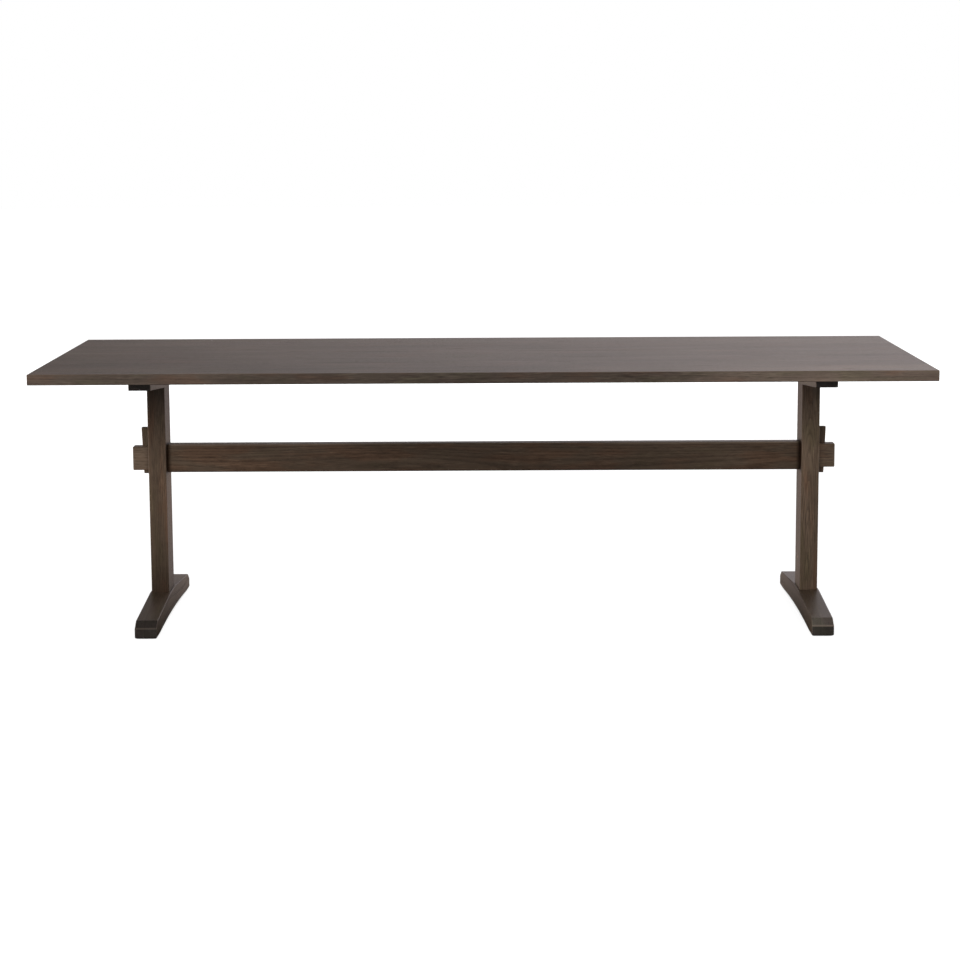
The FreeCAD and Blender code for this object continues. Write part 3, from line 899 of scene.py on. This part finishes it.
@dataclass
class Stretcher:
    """The long rail with its through tenons.

    Attributes:
        board: How it was sawn.
    """

    board: Board = Board(GrainRun.LENGTHWAYS, heart=(0.075, -0.03), log_place=8.4, tone=0.64, warmth=0.8,
                         lighter_beyond=0.945, tone_and_light_drift=(1.46, 0.9, 1.05), upper_edge_wear_and_highlight=0.5, has_corner_shade=True)

    def dress(self) -> None:
        """Oil the rail."""
        oil("stretcher", self.board)


@dataclass
class SocketScrew:
    """A screw with a knurled head and a hexagon socket, standing head down.

    Attributes:
        head: Diameter of the head.
        head_height: Height of the head.
        shank: Diameter of the shank.
        length: Length of the shank.
        socket: Width of the socket across its flats.
        socket_depth: Depth of the socket.
        ribs: Number of ribs round the head.
        rib_depth: Depth of the groove between two ribs.
        rim_bevel: Bevel round the head's open end.
        tip_bevel: Bevel round the shank's tip.
    """

    head: float = 0.013
    head_height: float = 0.008
    shank: float = 0.008
    length: float = 0.035
    socket: float = 0.006
    socket_depth: float = 0.004
    ribs: int = 36
    rib_depth: float = 0.00022
    rim_bevel: float = 0.0007
    tip_bevel: float = 0.001

    def build(self) -> Piece:
        """Model the screw with the open end of its head at the origin.

        Returns:
            The screw.
        """
        clear_selection()
        bpy.ops.mesh.primitive_cylinder_add(vertices=2 * self.ribs, radius=self.head / 2,
                                            depth=self.head_height, location=(0, 0, self.head_height / 2))
        screw = settle(bpy.context.view_layer.objects.active)
        self._raise_shank(screw)
        self._bevel_rim(screw)
        self._cut_ribs(screw)
        self._cut_socket(screw)
        smooth(screw, degrees=35)
        return screw

    def _raise_shank(self, screw: Piece) -> None:
        """Inset the upper face to the shank's width and extrude it to the tip.

        Args:
            screw: The plain head.
        """
        select_parts(screw, "FACE", lambda face: face.normal.z > 0.9)
        bpy.ops.mesh.inset(thickness=(self.head - self.shank) / 2)
        bpy.ops.mesh.extrude_region_move(TRANSFORM_OT_translate={"value": (0, 0, self.length)})
        bpy.ops.mesh.bevel(offset=self.tip_bevel, segments=1, affect="EDGES")

    def _bevel_rim(self, screw: Piece) -> None:
        """Bevel the head's open rim."""
        select_parts(screw, "EDGE", lambda first, second: max(first.z, second.z) < NO_HEIGHT)
        bpy.ops.mesh.bevel(offset=self.rim_bevel, segments=2, affect="EDGES")

    def _cut_ribs(self, screw: Piece) -> None:
        """Sink every second face round the head.

        Args:
            screw: The screw so far.
        """
        step = math.tau / (2 * self.ribs)

        def is_groove(face: bpy.types.MeshPolygon) -> bool:
            """Tell whether a face is upright, on the outside of the head and every second one."""
            number = round(math.atan2(face.center.y, face.center.x) / step - 0.5)
            return abs(face.normal.z) < 0.1 and face.center.xy.length > 0.45 * self.head and number % 2 == 0

        select_parts(screw, "FACE", is_groove)
        bpy.ops.mesh.inset(use_individual=True, thickness=self.rib_depth * 0.6, depth=-self.rib_depth)

    def _cut_socket(self, screw: Piece) -> None:
        """Cut the hexagon socket into the head's open end.

        Args:
            screw: The screw so far.
        """
        clear_selection()
        bpy.ops.mesh.primitive_cylinder_add(vertices=6, radius=self.socket / math.sqrt(3),
                                            depth=2 * self.socket_depth, location=(0, 0, 0))
        key = bpy.context.view_layer.objects.active
        select_only(screw)
        cut = screw.modifiers.new("socket", "BOOLEAN")
        cut.operation = "DIFFERENCE"
        cut.object = key
        cut.solver = "EXACT"
        bpy.ops.object.modifier_apply(modifier=cut.name)
        bpy.data.objects.remove(key)


@dataclass
class FeltPad:
    """A square glide of pressed felt with rounded corners and a soft rim.

    Attributes:
        side: Length of a side.
        thickness: Thickness on the floor.
        corner: Radius of the corners in plan.
        rim: Softness of the upper and lower rims.
        fray: How far the rim's fibres stray.
    """

    side: float = 0.050
    thickness: float = 0.002
    corner: float = 0.004
    rim: float = 0.0006
    fray: float = 0.0004

    def build(self) -> Piece:
        """Model the pad lying on the floor, round the origin.

        Returns:
            The pad.
        """
        clear_selection()
        bpy.ops.mesh.primitive_cube_add(size=1, location=(0, 0, self.thickness / 2))
        pad = bpy.context.view_layer.objects.active
        pad.scale = (self.side - self.fray, self.side - self.fray, self.thickness)
        settle(pad)
        select_parts(pad, "EDGE", lambda first, second: abs(first.z - second.z) > NO_HEIGHT)
        bpy.ops.mesh.bevel(offset=self.corner, segments=5, affect="EDGES")
        select_parts(pad, "EDGE", lambda first, second: abs(first.z - second.z) < NO_HEIGHT)
        bpy.ops.mesh.bevel(offset=self.rim, segments=3, affect="EDGES")
        self._fray(pad)
        smooth(pad, degrees=40)
        return pad

    def _fray(self, pad: Piece) -> None:
        """Divide the long edges of the rim, and let its fibres stray in and out.

        Args:
            pad: The pad with its edges eased.
        """
        select_parts(pad, "EDGE", lambda first, second: (first - second).length > 0.5 * self.side)
        bpy.ops.mesh.subdivide(number_cuts=24)
        select_only(pad)
        stray = bpy.data.textures.new("felt_stray", "CLOUDS")
        stray.noise_scale = 0.0016
        for axis in ("X", "Y"):
            fray = pad.modifiers.new(f"fray_{axis}", "DISPLACE")
            fray.texture = stray
            fray.texture_coords = "LOCAL"
            fray.direction = axis
            fray.strength = self.fray
            bpy.ops.object.modifier_apply(modifier=fray.name)


@dataclass
class Trestle:
    """One I-shaped end of the table, with its wedge, screws and felt pads.

    Attributes:
        side: Which end it is.
        boards: How its four wooden pieces were sawn.
        steel: Finish of its screws and washers.
        brass: Finish of its inserts.
        felt: Finish of its pads.
        screw_rows: Distances of the screws from the table's long middle line.
        pad_row: Distance of the felt pads from that line.
    """

    side: Side
    boards: dict[str, Board]
    steel: Finish
    brass: Finish
    felt: Finish
    screw_rows: tuple[float, ...] = (-0.3, -0.1, 0.1, 0.3)
    pad_row: float = 0.335

    def _named(self, piece: str) -> str:
        """Name a piece of this end."""
        return f"{self.side.value}_{piece}"

    def dress(self) -> None:
        """Oil the wood and finish the metal that keeps its shape."""
        for piece, board in self.boards.items():
            oil(self._named(piece), board)
        give(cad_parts[self._named("top_washers")], self.steel)
        give(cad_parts[self._named("top_inserts")], self.brass)

    def fit_screws(self) -> None:
        """Model the socket screws and put them in the rail's counterbores."""
        node = self._named("top_screws")
        low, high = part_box(node)
        middle = (low + high) / 2
        places = [Vector((middle.x, row, low.z)) for row in self.screw_rows]
        screws = copy_to(SocketScrew().build(), places, self._named("socket_screws"))
        give(screws, self.steel)
        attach(screws, "table")
        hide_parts(node)

    def fit_felt_pads(self) -> None:
        """Model the felt pads and put them under the two ends of the foot."""
        node = self._named("felt_pads")
        low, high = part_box(node)
        middle = (low + high) / 2
        places = [Vector((middle.x, row, 0)) for row in (-self.pad_row, self.pad_row)]
        pads = copy_to(FeltPad().build(), places, self._named("felt_glides"))
        give(pads, self.felt)
        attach(pads, "table")
        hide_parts(node)


# ---------------- the studio


@dataclass(frozen=True)
class Lamp:
    """A soft rectangular lamp, itself unseen, that leaves no glare of its own in a sheen.

    Attributes:
        name: What it is for.
        place: Where it hangs.
        target: What it points at.
        size: Its width and height.
        power: Its power in watts.
    """

    name: str
    place: Triple
    target: Triple
    size: Pair
    power: float

    def hang(self) -> None:
        """Hang the lamp."""
        data = bpy.data.lights.new(self.name, "AREA")
        data.shape = "RECTANGLE"
        data.size, data.size_y = self.size
        data.energy = self.power
        lamp = bpy.data.objects.new(self.name, data)
        lamp.location = self.place
        lamp.visible_glossy = False
        lamp.visible_camera = False
        lamp.rotation_euler = (Vector(self.target) - Vector(self.place)).to_track_quat("-Z", "Y").to_euler()
        bpy.context.scene.collection.objects.link(lamp)


@dataclass(frozen=True)
class Studio:
    """A pale floor, soft lamps, a white backdrop and the camera.

    Attributes:
        lamps: The lamps.
        ambient: How bright the room is where nothing shines.
        front_room: How bright the room in front of the table looks in a sheen.
        backdrop_colour: Colour of the backdrop in a sheen.
        backdrop_sides: How bright the left and right of the backdrop look in a sheen.
        floor_colour: Colour of the floor for the light it gives back.
        floor_seen: Its colour under its glow, where the camera sees it.
        floor_mirrored: Its colour in a sheen.
        floor_sheen_colour: Colour of its glow in a sheen.
        floor_glow: How much of its white is its own, where the camera sees it.
        floor_sheen: How bright it looks behind the table in a sheen.
        camera_place: Where the camera stands.
        camera_yaw: The camera's turn to the right, in radians.
        camera_pitch: Its tilt down, in radians.
        camera_roll: Its lean, in radians.
        lens: Its lens in millimetres, on a sensor 36 mm wide.
    """

    lamps: tuple[Lamp, ...]
    ambient: float = 0.3
    front_room: float = 0.25
    backdrop_colour: Colour = (1.0, 0.92, 0.94, 1.0)
    backdrop_sides: Pair = (0.2, 1.02)
    floor_colour: Colour = paint(190, 190, 190)
    floor_seen: Colour = paint(150, 150, 150)
    floor_mirrored: Colour = paint(40, 40, 40)
    floor_sheen_colour: Colour = (1.0, 0.82, 0.76, 1.0)
    floor_glow: float = 0.86
    floor_sheen: float = 0.5
    camera_place: Triple = (0.0175, -6.8808, 1.4173)
    camera_yaw: float = -0.0041
    camera_pitch: float = 0.1498
    camera_roll: float = 0.0053
    lens: float = 91.48

    def build(self) -> None:
        """Set up the whole studio."""
        bpy.context.scene.view_settings.view_transform = "Standard"
        self._lay_floor()
        self._light_room()
        for lamp in self.lamps:
            lamp.hang()
        self._stand_camera()
        LOG.info("studio: %d lamps", len(self.lamps))

    def _lay_floor(self) -> None:
        """Lay a pale floor, white to the camera, that keeps the table's shadow, with a painted contact shadow
        where its glow fades under the feet.
        """
        clear_selection()
        bpy.ops.mesh.primitive_plane_add(size=60, location=(0, 0, 0))
        floor = bpy.context.view_layer.objects.active
        floor.name = "floor"
        graph = NodeGraph(bpy.data.materials.new("pale_floor"))
        rays = graph.add("ShaderNodeLightPath").outputs
        seen, mirrored = rays["Is Camera Ray"], rays["Is Glossy Ray"]
        shown = graph.mix(seen, self.floor_colour, self.floor_seen)
        shown = graph.mix(mirrored, shown, self.floor_mirrored)
        place = graph.place()
        near, far = 1.5, 6.0
        glow = graph.between(graph.vector("LENGTH", place), near, far, self.floor_glow, 1.0)
        # The glow fades where something stands close above the floor: a painted contact shadow.
        openness = graph.add("ShaderNodeAmbientOcclusion", {"Distance": 0.05}, samples=12).outputs["AO"]
        glow = graph.math("MULTIPLY", seen, glow, graph.between(openness, 0.0, 0.35))
        under_table, behind_table = -0.4, 0.8
        behind = graph.between(graph.split(place)[1], under_table, behind_table, 0.0, self.floor_sheen)
        graph.dress(Base_Color=shown, Roughness=0.9, Specular_IOR_Level=0.0,
                    Emission_Color=graph.mix(mirrored, WHITE, self.floor_sheen_colour),
                    Emission_Strength=graph.math("ADD", glow, graph.math("MULTIPLY", mirrored, behind)))
        give(floor, graph.owner)

    def _light_room(self) -> None:
        """Light the room softly all round, in front of a white backdrop."""
        room = bpy.data.worlds.new("room")
        bpy.context.scene.world = room
        graph = NodeGraph(room, "Background")
        rays = graph.add("ShaderNodeLightPath").outputs
        mirrored = rays["Is Glossy Ray"]
        sideways, away, _ = graph.split(graph.add("ShaderNodeTexCoord").outputs["Generated"])
        left, right = self.backdrop_sides
        edge, in_front, behind = 0.2, -0.25, 0.55
        backdrop = graph.add("ShaderNodeMapRange", {"Value": sideways, "From Min": -edge, "From Max": edge,
                                                    "To Min": left, "To Max": right}).outputs[0]
        sheen = graph.level(graph.between(away, in_front, behind), self.front_room, backdrop)
        lit = graph.level(mirrored, self.ambient, sheen)
        seen = graph.math("MAXIMUM", rays["Is Camera Ray"], rays["Is Transmission Ray"])
        graph.dress(Color=graph.mix(mirrored, WHITE, self.backdrop_colour),
                    Strength=graph.level(seen, lit, 1.0))

    def _stand_camera(self) -> None:
        """Stand the camera a little right of the middle, looking slightly down at the table."""
        yaw = Matrix.Rotation(-self.camera_yaw, 4, "Z")
        pitch = Matrix.Rotation(math.pi / 2 - self.camera_pitch, 4, "X")
        roll = Matrix.Rotation(-self.camera_roll, 4, "Z")
        data = bpy.data.cameras.new("camera")
        data.lens = self.lens
        data.sensor_width = 36
        camera = bpy.data.objects.new("camera", data)
        camera.matrix_world = Matrix.Translation(self.camera_place) @ yaw @ pitch @ roll
        bpy.context.scene.collection.objects.link(camera)
        bpy.context.scene.camera = camera


# ---------------- building

# Along the posts and feet part of the lightness is painted light: the posts are darker towards their upper
# ends as painted shade under the slab, and the feet lighter at their back ends as a painted sheen.
TRESTLE_BOARDS = {
    Side.LEFT: {
        "top_rail": Board(GrainRun.CROSSWAYS, heart=(0.06, -0.05), log_place=1.7, tone=1.3, end_tone=1.3),
        "post": Board(GrainRun.UPRIGHT, heart=(-0.09, 0.03), log_place=5.2, warmth=0.3,
                      tone_and_light_drift=(0.38, 1.32, 0.58), has_corner_shade=True),
        "foot": Board(GrainRun.CROSSWAYS, heart=(-0.16, -0.03), log_place=9.9, tone=0.62, warmth=-1.0,
                      tone_and_light_drift=(1.8, 1.0, 0.96), end_tone=1.6, crease=(0.0285, 0.3), arris_wear_and_highlight=0.25),
        "wedge": Board(GrainRun.UPRIGHT, heart=(-0.05, 0.02), log_place=2.3, tone=1.28, warmth=-0.6),
    },
    Side.RIGHT: {
        "top_rail": Board(GrainRun.CROSSWAYS, heart=(-0.05, -0.06), log_place=4.6, tone=1.3, end_tone=1.4),
        "post": Board(GrainRun.UPRIGHT, heart=(-0.074, 0.004), log_place=7.3, warmth=0.3,
                      tone_and_light_drift=(0.9, 0.97, 0.88), lean=(0.06, 0.0), has_corner_shade=True),
        "foot": Board(GrainRun.CROSSWAYS, heart=(0.15, -0.02), log_place=6.1, tone=0.64, warmth=-1.0,
                      tone_and_light_drift=(1.3, 1.0, 1.22), end_tone=1.46, nose_sheen_lift=2.6, crease=(0.0285, 0.75),
                      arris_wear_and_highlight=0.25),
        "wedge": Board(GrainRun.UPRIGHT, heart=(-0.05, -0.02), log_place=8.8, tone=0.85, warmth=-1.0),
    },
}

LAMPS = (
    Lamp("overhead", (0.3, 0.2, 3.2), (0, 0, 0.7), (3.4, 2.0), 24),
    Lamp("front", (0.0, -7.2, 3.0), (0, 0, 0.5), (5.0, 2.4), 440),
    Lamp("back", (0.0, 7.2, 3.0), (0, 0, 0.5), (5.0, 2.4), 250),
    Lamp("left", (-5.0, 0.0, 0.36), (0, 0, 0.36), (1.0, 0.68), 190),
    Lamp("right", (2.7, 0.0, 0.36), (0, 0, 0.36), (1.0, 0.68), 18),
)


def main() -> None:
    """Dress the table and set up its studio."""
    logging.basicConfig(level=logging.INFO, format="%(name)s: %(message)s")
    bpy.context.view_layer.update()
    steel = BlackenedSteel().material()
    brass = TurnedBrass().material()
    felt = PressedFelt().material()
    Slab().dress()
    Stretcher().dress()
    for side, boards in TRESTLE_BOARDS.items():
        trestle = Trestle(side, boards, steel, brass, felt)
        trestle.dress()
        trestle.fit_screws()
        trestle.fit_felt_pads()
    Studio(LAMPS).build()


if __name__ == "__main__":
    main()
